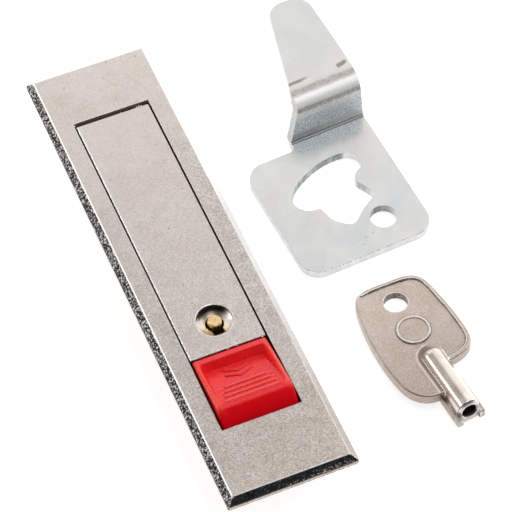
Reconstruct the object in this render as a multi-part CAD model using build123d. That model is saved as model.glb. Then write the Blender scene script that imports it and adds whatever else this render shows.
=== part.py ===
from build123d import *
from math import sin, cos, tan, radians, degrees, atan2, sqrt, pi
import os

# Flush push-button lock for an electrical cabinet door, with its loose hook
# plate and its loose key beside it, all lying on one surface.
# Millimetres. X is the width, Y the length (the handle's hinge is at +Y), Z
# points out of the door. The origin is the middle of the face plate, on the
# plane where the plate's back meets the door panel.

# ---------------------------------------------------------------- dimensions
FLOOR_Z = -15.0          # surface that the lock, the hook plate and the key lie on

# face plate
PLATE_W, PLATE_L, PLATE_T = 31.0, 128.8, 2.6
PLATE_EDGE = 1.0         # upright edge below the bevel
BEVEL = PLATE_T - PLATE_EDGE

# window in the face plate
WIN_W = 19.1
WIN_Y0, WIN_Y1 = -46.2, 47.45

# tray behind the plate: deep under the button and the key lock, shallow behind the hinge
TRAY_W = 23.1
TRAY_Y0, TRAY_Y1 = -51.6, 49.6
DEEP_Y1 = -5.0           # the deep part ends here
DEEP_Z, SHALLOW_Z = FLOOR_Z, -9.8
FLOOR_T = 1.5
WALL_T = 1.6

# handle
HANDLE_W = 18.26
HANDLE_Y0, HANDLE_Y1 = -26.5, 46.42
SLAB_Z = 0.0             # underside of the handle's plate
HINGE_Y, HINGE_Z = 39.1, -1.5
HINGE_PIN_R = 1.25
RUN = 0.04               # radial running clearance
LIFT_DEG = 60.0

# key lock in the handle
KEY_Y = -18.2
KEYHOLE_R = 4.25
BARREL_R, BARREL_BORE_R = 5.7, 4.25
CORE_R = 4.2
CENTRE_PIN_R = 1.65
CORE_TURN_DEG = 90.0

# red rocker button
BTN_W = 17.96
PIV_Y, PIV_Z = -36.5, -6.3
BTN_R = 12.9             # radius of the button's outer curved face about its pin
BTN_PIN_R = 1.0
BTN_Y1 = -26.92
RIM_Z0 = 2.45            # rim at the handle end
RIDGE_Z = 5.25           # rim at the ridge
PRESS_DEG = 10.0

# lever that works the hook plate
CRANK_R = 11.4
CRANK_X0, CRANK_X1 = -4.2, -0.8
CRANK_TIP_R = 2.0

# post and screw that the hook plate turns on
POST_X, POST_Y = 7.4, 29.8
POST_R, POST_L = 3.1, 2.4
TAP_R = 1.65             # core hole of an M4 thread

# bosses that fasten the plate to the door
BOSS_Y, BOSS_R, BOSS_L = 57.0, 3.8, 5.0

# hook plate
HOOK_T = 2.3
HOOK_RISE = 10.7
HOOK_HOLE_R = 3.25
HOOK_X, HOOK_Y, HOOK_ROT = 51.78, 3.65, 3.6

# key
KEY_T = 3.0
KEY_TUBE_R, KEY_BORE_R = 2.88, 1.85
KEY_RAIL_X, KEY_RAIL_Z0, KEY_RAIL_Z1 = 3.55, -3.0, -0.6
KEY_TIP_Y, KEY_END_Y = -26.7, -25.0
KEY_X, KEY_CY, KEY_ROT, KEY_TILT = 44.61, -29.70, 4.85, 3.34

os.makedirs("parts", exist_ok=True)
PARTS = {}


def keep(name, shape):
    solids = shape.solids()
    if len(solids) == 1:
        shape = solids[0]
    if len(solids) != 1 or not shape.is_valid:
        print("CHECK", name, len(solids), shape.is_valid)
    PARTS[name] = shape
    export_step(shape, "parts/" + name + ".step")


def box(x0, x1, y0, y1, z0, z1):
    return Pos((x0 + x1) / 2, (y0 + y1) / 2, (z0 + z1) / 2) * Box(x1 - x0, y1 - y0, z1 - z0)


def cyl_x(y, z, r, x0, x1):
    return Pos((x0 + x1) / 2, y, z) * Rot(0, 90, 0) * Cylinder(r, x1 - x0)


def cyl_z(x, y, r, z0, z1):
    return Pos(x, y, (z0 + z1) / 2) * Cylinder(r, z1 - z0)


def prism_x(points, x0, x1):
    """A solid with this outline in Y and Z, from x0 to x1."""
    wire = Polyline(*[(0, y, z) for y, z in points], close=True)
    return extrude(Pos(x0, 0, 0) * make_face(wire), amount=x1 - x0, dir=(1, 0, 0))


def prism_z(points, z0, z1):
    wire = Polyline(*[(x, y, 0) for x, y in points], close=True)
    return extrude(Pos(0, 0, z0) * make_face(wire), amount=z1 - z0, dir=(0, 0, 1))


def rounded(x0, x1, y0, y1, z0, z1, r):
    s = Pos((x0 + x1) / 2, (y0 + y1) / 2) * RectangleRounded(x1 - x0, y1 - y0, r)
    return extrude(Pos(0, 0, z0) * s, amount=z1 - z0)


def closed_face(curves):
    """The face inside curves that follow each other in a closed loop."""
    return make_face(Wire([e for c in curves for e in c.edges()]))


# ---------------------------------------------------------------- housing
plate = box(-PLATE_W / 2, PLATE_W / 2, -PLATE_L / 2, PLATE_L / 2, 0, PLATE_T)
plate = chamfer(plate.faces().sort_by(Axis.Z)[-1].edges(), BEVEL)
corners = plate.edges().filter_by(Axis.Z)
plate = fillet(corners, 0.5)

tray = rounded(-TRAY_W / 2, TRAY_W / 2, TRAY_Y0, TRAY_Y1, SHALLOW_Z, 0.2, 2.5)
deep = rounded(-TRAY_W / 2, TRAY_W / 2, TRAY_Y0, DEEP_Y1, DEEP_Z, 0.2, 2.5)
housing = plate + tray + deep

# pocket: one straight opening down to the shallow floor, deeper at the lock's end
housing -= box(-WIN_W / 2, WIN_W / 2, WIN_Y0, WIN_Y1, SHALLOW_Z + FLOOR_T, 4)
housing -= box(-WIN_W / 2, WIN_W / 2, WIN_Y0 - 1.5, DEEP_Y1 - WALL_T, DEEP_Z + FLOOR_T, SHALLOW_Z + FLOOR_T + 1)
# the curved seat that the rocker's outer face swings past
housing -= cyl_x(PIV_Y, PIV_Z, BTN_R + 0.27, -WIN_W / 2, WIN_W / 2) & box(-20, 20, -60, PIV_Y, DEEP_Z + FLOOR_T, PLATE_T + 1)
# slot in the shallow floor for the lever
housing -= rounded(CRANK_X0 - 0.5, CRANK_X1 + 0.5, 30.6, 47.2, -12, -7, 1.2)
# keeper windows for the locking tongue, one in each side wall
for s in (-1, 1):
    housing -= box(min(s * 9.3, s * 12), max(s * 9.3, s * 12), KEY_Y - 4.0, KEY_Y + 6.5, -12.35, -10.4)
# post that the hook plate turns on, with a tapped hole that runs on into a pillar inside
housing += cyl_z(POST_X, POST_Y, POST_R, SHALLOW_Z - POST_L, SHALLOW_Z + 0.2)
housing += (cyl_z(POST_X, POST_Y, 3.4, SHALLOW_Z + 0.2, -6.2) & box(-10, 10, 20, 40, -12, -6))
housing -= cyl_z(POST_X, POST_Y, TAP_R, SHALLOW_Z - POST_L - 1, -7.0)
# stops under the rocker's handle end
for s in (-1, 1):
    housing += box(min(s * 6.2, s * 9.6), max(s * 6.2, s * 9.6), -30.6, -28.8, DEEP_Z + 1, -5.2)
# spigot under the button spring
housing += cyl_z(0, -43.4, 1.5, DEEP_Z + 1, -11.0)
# holes for the two cross pins
housing -= cyl_x(HINGE_Y, HINGE_Z, HINGE_PIN_R, -14, 14) & box(-14, 14, 30, 50, -9, -0.05)
housing -= cyl_x(PIV_Y, PIV_Z, BTN_PIN_R, -14, 14)
# bosses for the fixing screws, with ribs back to the tray
for s in (-1, 1):
    housing += cyl_z(0, s * BOSS_Y, BOSS_R, -BOSS_L, 0.2)
    y_in = s * (TRAY_Y1 - 1 if s > 0 else -TRAY_Y0 - 1)
    housing += box(-0.9, 0.9, min(y_in, s * BOSS_Y), max(y_in, s * BOSS_Y), -3.2, 0.2)
    housing -= cyl_z(0, s * BOSS_Y, TAP_R, -BOSS_L - 1, 1.2)
housing = housing.clean()
keep("housing", housing)

# ---------------------------------------------------------------- handle
hx = HANDLE_W / 2
slab = box(-hx, hx, HANDLE_Y0, HANDLE_Y1, SLAB_Z, PLATE_T)
slab = chamfer(slab.faces().sort_by(Axis.Z)[-1].edges(), 0.2)
handle = slab
# the skirt along both sides and across the button's end
for s in (-1, 1):
    x_in = hx - 1.8
    handle += prism_x([(HANDLE_Y0, 0.3), (HANDLE_Y0, -5.0), (22, -5.0), (33.5, -2.6), (36.5, -2.6), (36.5, 0.3)],
                      min(s * x_in, s * hx), max(s * x_in, s * hx))
handle += box(-hx, hx, HANDLE_Y0, HANDLE_Y0 + 1.8, -5.6, 0.3)
# ledge that faces the rocker's catch
handle += box(-4.5, 4.5, HANDLE_Y0 - 0.05, HANDLE_Y0 + 1.8, -5.6, -4.4)
# boss round the key lock, with ribs to the skirt
handle += cyl_z(0, KEY_Y, 7.3, -7.4, 0.3)
handle += box(-hx + 0.5, hx - 0.5, KEY_Y - 0.7, KEY_Y + 0.7, -4.2, 0.3)
# stiffening ribs under the plate
for y in (-6.0, 5.0, 16.0):
    handle += box(-hx + 0.5, hx - 0.5, y - 0.6, y + 0.6, -2.6, 0.3)
handle += box(-0.6, 0.6, -11, 25, -2.2, 0.3)
# the hinge barrel: solid behind the face, open where the lever and the spring sit
handle += cyl_x(HINGE_Y, HINGE_Z, 3.3, -hx, hx) & box(-hx, hx, 30, HINGE_Y + 3.4, -6, 1.0)
handle += box(-hx, hx, HINGE_Y - 3.3, HANDLE_Y1, -1.0, 0.3) & box(-hx, hx, 30, HANDLE_Y1, -1.0, 1.0)
for x0, x1 in ((-6.4, -4.25), (-0.75, 1.4)):
    handle += prism_x([(29.5, 0.3), (29.5, -3.4), (HINGE_Y, -4.6), (HINGE_Y, 0.3)], x0, x1)
# room for the lever
handle -= box(CRANK_X0 - 0.05, CRANK_X1 + 0.05, 28.8, 50, -8, SLAB_Z - 0.0001)
handle -= cyl_x(HINGE_Y, HINGE_Z, 3.45, CRANK_X0 - 0.05, CRANK_X1 + 0.05) & box(-10, 10, 30, 50, -8, 1.3)
# room for the spring's coil
handle -= cyl_x(HINGE_Y, HINGE_Z, 3.1, 1.4, 7.3) & box(-10, 10, 30, 50, -8, 1.3)
handle -= box(1.4, 7.3, 31, HINGE_Y + 3.1, -8, SLAB_Z - 0.0001)
# pad that the spring's upper leg pushes on
handle += box(4.9, 7.4, 30.3, 31.3, -1.1, 0.3)
# keep the tail inside the circle that clears the window's end
tail_ring = cyl_x(HINGE_Y, HINGE_Z, 20, -12, 12) - cyl_x(HINGE_Y, HINGE_Z, 8.2, -13, 13)
handle -= tail_ring & box(-12, 12, HINGE_Y, 60, -20, 10)
# hinge pin hole, key lock bore and keyhole
handle -= cyl_x(HINGE_Y, HINGE_Z, HINGE_PIN_R + RUN, -14, 14)
handle -= cyl_z(0, KEY_Y, BARREL_R, -10, 1.2)
handle -= cyl_z(0, KEY_Y, KEYHOLE_R, 0, 4)
handle -= Pos(0, KEY_Y, PLATE_T - 0.06) * Cone(KEYHOLE_R, KEYHOLE_R + 0.12, 0.12)
# rivet hole for the lever
handle -= cyl_x(HINGE_Y - 6.5, -1.75, 1.0, -6.4, 1.4)
handle = handle.clean()
keep("handle", handle)

# ---------------------------------------------------------------- hinge pin, lever, rivet
pin = cyl_x(HINGE_Y, HINGE_Z, HINGE_PIN_R, -11.45, 11.45)
pin = chamfer(pin.edges().filter_by(GeomType.CIRCLE), 0.25)
keep("hinge_pin", pin)

a = radians(LIFT_DEG / 2)
tip_y, tip_z = HINGE_Y + CRANK_R * sin(a), HINGE_Z - CRANK_R * cos(a)
w0, w1 = 2.9, 1.85
nx, nz = cos(a), sin(a)      # across the arm
lever = prism_x([
    (HINGE_Y + w0 * nx, HINGE_Z + w0 * nz), (tip_y + w1 * nx, tip_z + w1 * nz),
    (tip_y - w1 * nx, tip_z - w1 * nz), (HINGE_Y - w0 * nx, HINGE_Z - w0 * nz)], CRANK_X0, CRANK_X1)
lever += cyl_x(HINGE_Y, HINGE_Z, 3.3, CRANK_X0, CRANK_X1)
lever += cyl_x(tip_y, tip_z, CRANK_TIP_R, CRANK_X0, CRANK_X1)
lever -= box(-10, 10, 30, 50, 1.15, 5)       # the eye is ground flat under the face
lever += box(CRANK_X0, CRANK_X1, HINGE_Y - 9.3, HINGE_Y, -3.6, -0.08)
lever -= cyl_x(HINGE_Y, HINGE_Z, HINGE_PIN_R + RUN, -10, 10)
lever -= cyl_x(HINGE_Y - 6.5, -1.75, 1.0, -10, 10)
lever = lever.clean()
keep("drive_lever", lever)

rivet = cyl_x(HINGE_Y - 6.5, -1.75, 1.0, -6.4, 1.4)
rivet += cyl_x(HINGE_Y - 6.5, -1.75, 1.5, -7.0, -6.4) + cyl_x(HINGE_Y - 6.5, -1.75, 1.5, 1.4, 2.0)
keep("lever_rivet", rivet.clean())


def torsion_spring(y, z, x0, turns, mean_r, wire_r, ang0, leg0, leg1):
    """Coil round an X axis at (y, z), starting at x0, with a straight leg along the tangent at each end."""
    pitch = 2 * wire_r + 0.06
    helix = Helix(pitch, pitch * turns, mean_r)
    p0, p1, t0, t1 = helix @ 0, helix @ 1, (helix % 0).normalized(), (helix % 1).normalized()
    path = Wire([Line(p0 - t0 * leg0, p0).edge(), helix.edge(), Line(p1, p1 + t1 * leg1).edge()])
    coil = sweep(Plane(origin=p0 - t0 * leg0, z_dir=t0) * Circle(wire_r), path=path)
    # the helix runs along its own Z from its own X axis: turn it to the angle, then lay it along X
    return Pos(x0, y, z) * Rot(0, 90, 0) * Rot(0, 0, ang0) * coil


handle_spring = torsion_spring(HINGE_Y, HINGE_Z, 2.7, 3 + (194 - 42) / 360, 1.8, 0.4, 42, 7.65, 8.6)
keep("handle_spring", handle_spring)

# ---------------------------------------------------------------- key lock
barrel = cyl_z(0, KEY_Y, BARREL_R, -10.0, 1.2) - cyl_z(0, KEY_Y, BARREL_BORE_R, -11, 3)
barrel += cyl_z(0, KEY_Y, 7.0, -8.4, -7.4) - cyl_z(0, KEY_Y, BARREL_BORE_R, -11, 3)
keep("lock_barrel", barrel.clean())

core = cyl_z(0, KEY_Y, CORE_R, -10.0, 2.1)
# dished mouth that leads the key in to the pin
core -= Pos(0, KEY_Y, 7.61) * Sphere(6.86)
core -= cyl_z(0, KEY_Y, 2.15, -3.0, 3)
# notch beside the pin for the key's lugs, on the button's side
core -= box(-1.35, 1.35, KEY_Y - 3.55, KEY_Y, -3.0, 3)
# neck for the clip and a flatted spigot for the tongue
core += cyl_z(0, KEY_Y, 3.2, -10.75, -10.0)
core += (cyl_z(0, KEY_Y, 2.6, -12.0, -10.75) & box(-1.9, 1.9, KEY_Y - 4, KEY_Y + 4, -13, -10))
core -= cyl_z(0, KEY_Y, 1.0, -13, -6.5)
core -= cyl_z(0, KEY_Y, CENTRE_PIN_R, -5.5, 3)
keep("lock_core", core.clean())

centre_pin = cyl_z(0, KEY_Y, CENTRE_PIN_R, -5.5, 2.4)
centre_pin = chamfer(centre_pin.edges().filter_by(GeomType.CIRCLE).sort_by(Axis.Z)[-1:], 0.2)
centre_pin -= Pos(0, KEY_Y, 2.4 - 0.1) * Cone(0.02, 0.3, 0.22)
keep("centre_pin", centre_pin)

# retaining clip: an open ring in the neck, under the barrel
clip = cyl_z(0, KEY_Y, 4.9, -10.6, -10.05) - cyl_z(0, KEY_Y, 3.22, -11, -9)
clip -= box(-1.6, 1.6, KEY_Y, KEY_Y + 6, -11, -9)
keep("core_clip", clip.clean())

# locking tongue: points along the handle when unlocked, out through the side wall when locked
tongue = rounded(-3.4, 3.4, -3.4, 10.7, -11.85, -10.85, 1.2)
tongue = Pos(0, KEY_Y, 0) * tongue
tongue -= cyl_z(0, KEY_Y, 2.62, -13, -10) & box(-1.92, 1.92, KEY_Y - 4, KEY_Y + 4, -13, -10)
keep("lock_tongue", tongue.clean())

screw = cyl_z(0, KEY_Y, 0.98, -12.05, -7.0)
head = cyl_z(0, KEY_Y, 2.9, -13.05, -12.02)
head = fillet(head.edges().filter_by(GeomType.CIRCLE).sort_by(Axis.Z)[:1], 0.5)
screw += head
screw -= box(-0.35, 0.35, KEY_Y - 3, KEY_Y + 3, -13.2, -12.6)
keep("tongue_screw", screw.clean())

# ---------------------------------------------------------------- push button
bx = BTN_W / 2
d_ridge = RIDGE_Z - PIV_Z
ridge_y = PIV_Y - sqrt(BTN_R**2 - d_ridge**2)
end_z = 0.6
end_y = PIV_Y - sqrt(BTN_R**2 - (end_z - PIV_Z) ** 2)
mid_a = (atan2(d_ridge, ridge_y - PIV_Y) + atan2(end_z - PIV_Z, end_y - PIV_Y)) / 2
mid = (0, PIV_Y + BTN_R * cos(mid_a), PIV_Z + BTN_R * sin(mid_a))
rim_mid_y = (BTN_Y1 + ridge_y) / 2
rim_mid_z = (RIM_Z0 + RIDGE_Z) / 2 + 0.22
outline = [
    ThreePointArc((0, BTN_Y1, RIM_Z0), (0, rim_mid_y, rim_mid_z), (0, ridge_y, RIDGE_Z)),
    ThreePointArc((0, ridge_y, RIDGE_Z), mid, (0, end_y, end_z)),
    Polyline((0, end_y, end_z), (0, -45.6, -1.2), (0, -40.6, -3.4), (0, -38.8, -8.6), (0, -34.2, -8.6),
             (0, -32.6, -5.0), (0, BTN_Y1 - 0.6, -5.0), (0, BTN_Y1 - 0.6, -3.4), (0, BTN_Y1, -3.4), (0, BTN_Y1, RIM_Z0)),
]
button = extrude(Pos(-bx, 0, 0) * closed_face(outline), amount=BTN_W, dir=(1, 0, 0))
# worn, rounded ridge and sides
ridge = [e for e in button.edges() if abs(e.center().Y - ridge_y) < 0.01 and abs(e.center().Z - RIDGE_Z) < 0.01]
button = fillet(ridge, 2.2)
outer = [e for e in button.edges() if abs(abs(e.center().X) - bx) < 0.01 and e.center().Z > 2.3 and abs((e @ 0).Z - (e @ 1).Z) > 0.15]
button = fillet(outer, 0.8)
# hollow underneath, leaving two cheeks and the skin
button -= prism_x([(-44.6, -6), (-44.6, 0.2), (-41.6, 2.2), (-31.0, -1.9), (-29.0, -2.2), (-29.0, -12), (-44.6, -12)], -bx + 2.2, bx - 2.2)
button += box(-0.8, 0.8, -41.0, -28.8, -4.5, 0.5) & prism_x([(-41.0, -4), (-41.0, 2.6), (-28.8, -1.4), (-28.8, -4)], -1, 1)
# scoop for the fingertip: steep at the handle's end, running out at the ridge
rim_slope = atan2(RIDGE_Z - RIM_Z0, BTN_Y1 - ridge_y)
scoop_len = 13.3
top_c = Plane(origin=(0, -28.15 - scoop_len / 2 * cos(rim_slope), RIM_Z0 + (scoop_len / 2 + 1.2) * sin(rim_slope) + 0.35),
              x_dir=(1, 0, 0), z_dir=(0, sin(rim_slope), cos(rim_slope)))
pocket = extrude(top_c * RectangleRounded(16.3, scoop_len, 1.3), amount=-4.2, taper=27)
pocket += extrude(top_c * RectangleRounded(16.3, scoop_len, 1.3), amount=3.0)
floor_keep = prism_x([(-27.0, -0.25), (-41.75, 5.1), (-41.75, 12), (-27.0, 12)], -12, 12)
scoop = pocket & floor_keep
button -= scoop
lip = [e for e in button.edges() if e.center().Z > 2.7 and abs(e.center().X) < 8.4 and -41.5 < e.center().Y < -28.0]
button = fillet(lip, 0.2)
# grip ribs across the floor, longer towards the ridge
floor_a = atan2(5.1 + 0.25, 41.75 - 27.0)
for i, half in enumerate((4.9, 5.5, 6.1, 6.6)):
    y = -36.35 - 1.52 * i
    z = -0.25 + (-27.0 - y) * tan(floor_a)
    rib = Pos(0, y, z) * Rot(-degrees(floor_a), 0, 0) * (Rot(0, 90, 0) * Cylinder(0.33, 2 * half))
    button += rib
# two plain chevrons pointing to the ridge
for i in range(2):
    y = -31.6 - 1.75 * i
    z = -0.25 + (-27.0 - y) * tan(floor_a)
    base = Plane(origin=(0, y, z), x_dir=(1, 0, 0), z_dir=(0, sin(floor_a), cos(floor_a)))
    v = Polyline((-3.4, 0.95), (0, -0.45), (3.4, 0.95), (3.4, 0.4), (0, -1.0), (-3.4, 0.4), close=True)
    button += extrude(base * make_face(v), amount=0.24)
    button += extrude(base * make_face(v), amount=-0.2)
# seat for the return spring
button -= cyl_z(0, -43.4, 2.8, -12, 0.2)
# pin hole
button -= cyl_x(PIV_Y, PIV_Z, BTN_PIN_R + RUN, -14, 14)
button = button.clean()
keep("push_button", button)

bpin = cyl_x(PIV_Y, PIV_Z, BTN_PIN_R, -11.45, 11.45)
bpin = chamfer(bpin.edges().filter_by(GeomType.CIRCLE), 0.2)
keep("button_pin", bpin)

# return spring between the deep floor and the rocker's outer end
s_z0, s_z1, s_r, s_w, s_n = -13.45, 0.1, 2.1, 0.32, 6.5
s_h = (s_z1 - s_z0) - 2 * s_w
helix = Helix(s_h / s_n, s_h, s_r)
bspring = sweep(Plane(origin=helix @ 0, z_dir=helix % 0) * Circle(s_w), path=helix, is_frenet=True)
bspring = Pos(0, -43.4, s_z0 + s_w) * bspring
keep("button_spring", bspring)

# ---------------------------------------------------------------- hook plate's screw and washer
pz = SHALLOW_Z - POST_L
washer = cyl_z(POST_X, POST_Y, 5.5, pz - 0.6, pz) - cyl_z(POST_X, POST_Y, 2.15, pz - 2, pz + 1)
washer = chamfer(washer.faces().sort_by(Axis.Z)[0].outer_wire().edges(), 0.15)
keep("pivot_washer", washer)
# split spring washer, pressed flat
split = cyl_z(POST_X, POST_Y, 3.4, pz - 1.2, pz - 0.6) - cyl_z(POST_X, POST_Y, 2.1, pz - 3, pz + 1)
split -= Pos(POST_X, POST_Y + 2.75, pz - 0.9) * Rot(0, 35, 0) * Box(0.35, 2.4, 3)
keep("spring_washer", split.clean())
head_z = pz - 1.2
pscrew = cyl_z(POST_X, POST_Y, TAP_R, head_z, -7.2)
phead = cyl_z(POST_X, POST_Y, 3.5, FLOOR_Z, head_z)
phead = fillet(phead.edges().filter_by(GeomType.CIRCLE).sort_by(Axis.Z)[:1], 0.6)
pscrew += phead
pscrew -= box(POST_X - 2.2, POST_X + 2.2, POST_Y - 0.45, POST_Y + 0.45, FLOOR_Z - 1, FLOOR_Z + 1.0)
pscrew -= box(POST_X - 0.45, POST_X + 0.45, POST_Y - 2.2, POST_Y + 2.2, FLOOR_Z - 1, FLOOR_Z + 1.0)
keep("pivot_screw", pscrew.clean())

# ---------------------------------------------------------------- hook plate
# own frame: origin at the pivot hole, Y towards the tongue, z = 0 at the plate's underside
t, rise = HOOK_T, HOOK_RISE
crease_y = 29.6          # where the riser leaves the plate's top face
lean = 2.0               # how far the riser leans back over its height
ro = 3.6                 # outer radius of the top bend
bo = 2.6                 # outer radius of the lower bend
zt = t + rise
la = atan2(lean, rise)
ca, sa = cos(la), sin(la)
ma = (pi / 2 + la) / 2   # half way round either bend
front_z = zt - ro * (1 - sa)
front_y = crease_y + sa / ca * (front_z - t)
arc_y = front_y + ro * ca                     # centre of the top bend, at z = zt - ro
ri = ro - t
back_y, back_z = arc_y - ri * ca, zt - ro + ri * sa
foot_z = bo * (1 - sa)
foot_y = back_y - (back_z - foot_z) * sa / ca
heel_y = foot_y - bo * ca                     # centre of the lower bend, at z = bo
side_lines = [
    Polyline((0, -12, t), (0, crease_y - 0.3, t), (0, crease_y + 0.06, t + 0.35), (0, front_y, front_z)),
    ThreePointArc((0, front_y, front_z), (0, arc_y - ro * cos(ma), zt - ro + ro * sin(ma)), (0, arc_y, zt)),
    Polyline((0, arc_y, zt), (0, 70, zt), (0, 70, zt - t), (0, arc_y, zt - t)),
    ThreePointArc((0, arc_y, zt - t), (0, arc_y - ri * cos(ma), zt - ro + ri * sin(ma)), (0, back_y, back_z)),
    Line((0, back_y, back_z), (0, foot_y, foot_z)),
    ThreePointArc((0, foot_y, foot_z), (0, heel_y + bo * cos(ma), bo - bo * sin(ma)), (0, heel_y, 0)),
    Polyline((0, heel_y, 0), (0, -12, 0), (0, -12, t)),
]
side = extrude(Pos(-40, 0, 0) * closed_face(side_lines), amount=70, dir=(1, 0, 0))

plan_pts = [
    (-23.85, -8.05), (9.92, -8.3), (9.92, 30.0), (10.6, 37.0), (10.65, 46.0), (10.35, 62.85), (0.45, 62.85),
    (-5.3, 40.2), (-6.9, 34.9), (-9.7, 34.9), (-9.7, 27.4), (-23.85, 27.4)]
plan = make_face(Polyline(*plan_pts, close=True))


def at(face, x, y):
    return face.vertices().sort_by(lambda v: (v.X - x) ** 2 + (v.Y - y) ** 2)[0]


for (x, y), r in (((-23.85, -8.05), 5.0), ((9.92, -8.3), 5.0), ((-23.85, 27.4), 5.0), ((10.35, 62.85), 4.6),
                  ((0.45, 62.85), 4.4), ((-9.7, 27.4), 1.5), ((-5.3, 40.2), 12.0), ((10.6, 37.0), 8.0), ((9.92, 30.0), 8.0)):
    try:
        plan = fillet(at(plan, x, y), r)
    except Exception:
        print("corner left sharp", x, y)
hook = side & extrude(plan, amount=20)
# the strip narrows evenly as it climbs the riser, its edge square to the sheet
flank = [Spline((-9.8, 2.45), (-9.3, 3.6), (-8.55, 6.0), (-7.75, 8.6), (-7.0, 11.0), (-6.6, 13.3)),
         Polyline((-6.6, 13.3), (-14.0, 13.3), (-14.0, 2.45), (-9.8, 2.45))]
hook -= Pos(0, 45.0, 0) * extrude(Plane.XZ * closed_face(flank), amount=15.5)
# lobed window that the lever's tip works in
lobe_top = [(-12.33, 8.95), (-13.2, 9.0), (-14.64, 9.36), (-15.98, 10.17), (-16.91, 11.34), (-17.3, 13.03), (-16.8, 14.78),
            (-15.88, 16.17), (-14.11, 17.84), (-11.23, 19.45), (-8.37, 20.65), (-5.54, 21.4), (-2.74, 21.7), (0.03, 21.5),
            (1.92, 20.56), (2.83, 19.11), (2.9, 17.6), (2.48, 16.24), (1.87, 15.5)]
lobe_right = [(1.87, 15.5), (0.6, 14.95), (-0.35, 14.1), (-0.9, 12.83), (-0.55, 11.6), (0.16, 10.26), (0.85, 8.55), (1.05, 7.2), (0.86, 6.32)]
lobe_low = [(0.86, 6.32), (-0.4, 5.74), (-2.13, 4.84), (-3.87, 3.67), (-5.34, 2.43), (-6.4, 1.62), (-7.35, 1.38), (-8.44, 1.79),
            (-9.76, 2.93), (-11.05, 4.57), (-11.72, 6.5), (-11.97, 7.69), (-12.33, 8.95)]
window = closed_face([Spline(*lobe_top), Spline(*lobe_right), Spline(*lobe_low)])
hook -= Pos(0, 0, -1) * extrude(window, amount=8)
hook -= cyl_z(0, 0, HOOK_HOLE_R, -1, 8)
hook = hook.clean()
hook = Pos(HOOK_X, HOOK_Y, FLOOR_Z) * Rot(0, 0, HOOK_ROT) * hook
keep("hook_plate", hook)

# ---------------------------------------------------------------- key
# own frame: barrel axis along Y through x = 0, z = 0 in the middle of the bow's thickness, tip at -Y
outer_right = Spline((-6.3, 14.95), (-4.6, 15.38), (-2.2, 15.42), (1.0, 15.2), (4.0, 15.02), (6.1, 14.6), (7.6, 13.85), (8.75, 12.7),
                     (9.45, 10.9), (9.9, 8.2), (10.25, 5.2), (10.52, 2.0), (10.68, -1.5), (10.68, -4.4), (10.5, -6.9), (9.85, -9.0),
                     (8.6, -10.4), (6.9, -11.3), (5.0, -11.75), (2.4, -11.85))
outer_notch = Polyline((2.4, -11.85), (2.4, -19.2), (-2.6, -19.2))
outer_left = Spline((-2.6, -19.2), (-4.9, -19.15), (-6.7, -18.6), (-8.3, -17.5), (-9.5, -16.0), (-10.3, -14.2), (-10.85, -11.6),
                    (-11.12, -8.6), (-11.18, -5.4), (-11.12, -2.5), (-10.88, 0.9), (-10.45, 4.3), (-9.85, 7.8), (-9.1, 10.9),
                    (-8.3, 13.1), (-7.5, 14.25), (-6.3, 14.95))
bow_face = closed_face([outer_right, outer_notch, outer_left])
bow = extrude(Pos(0, 0, -KEY_T / 2) * bow_face, amount=KEY_T)
for z in (-1, 1):
    bow = fillet([e for e in bow.edges() if abs(e.center().Z - z * KEY_T / 2) < 0.01], 0.45)
# both faces are sunk inside a raised rim
inner_right = Spline((-6.0, 14.05), (-4.5, 14.42), (-2.2, 14.46), (1.0, 14.25), (3.9, 14.05), (5.7, 13.7), (7.0, 13.05), (7.95, 12.1),
                     (8.55, 10.5), (8.98, 8.0), (9.32, 5.0), (9.58, 1.9), (9.73, -1.5), (9.73, -4.3), (9.55, -6.6), (9.0, -8.4),
                     (8.0, -9.55), (6.5, -10.35), (4.85, -10.8), (2.2, -10.9))
inner_notch = Polyline((2.2, -10.9), (2.2, -18.2), (-2.6, -18.2))
inner_left = Spline((-2.6, -18.2), (-4.7, -18.18), (-6.25, -17.7), (-7.6, -16.8), (-8.65, -15.45), (-9.4, -13.8), (-9.9, -11.4),
                    (-10.15, -8.6), (-10.22, -5.4), (-10.15, -2.4), (-9.92, 1.0), (-9.5, 4.4), (-8.92, 7.8), (-8.2, 10.7),
                    (-7.45, 12.7), (-6.9, 13.6), (-6.0, 14.05))
inner = closed_face([inner_right, inner_notch, inner_left])
for z in (-1, 1):
    bow -= extrude(Pos(0, 0, z * (KEY_T / 2 - 0.35)) * inner, amount=z * 1.0)
# low round medallion with a plain ring, left blank, on both faces
for z in (-1, 1):
    disc = extrude(Pos(-0.25, -0.15, z * (KEY_T / 2 - 0.45)) * Circle(3.95), amount=z * 0.28)
    ring = extrude(Pos(-0.25, -0.15, z * (KEY_T / 2 - 0.3)) * (Circle(3.95) - Circle(3.5)), amount=z * 0.28)
    bow += disc + ring
# barrel half sunk in the bow; its end is bevelled back between two lugs
shank = Pos(0, (KEY_END_Y - 9.0) / 2, 0) * Rot(90, 0, 0) * Cylinder(KEY_TUBE_R, -9.0 - KEY_END_Y)
shank += Pos(0, -9.0, 0) * Sphere(KEY_TUBE_R)
shank += Pos(0, KEY_END_Y - 0.25, 0) * Rot(90, 0, 0) * Cone(KEY_TUBE_R, 2.2, 0.5)
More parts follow.
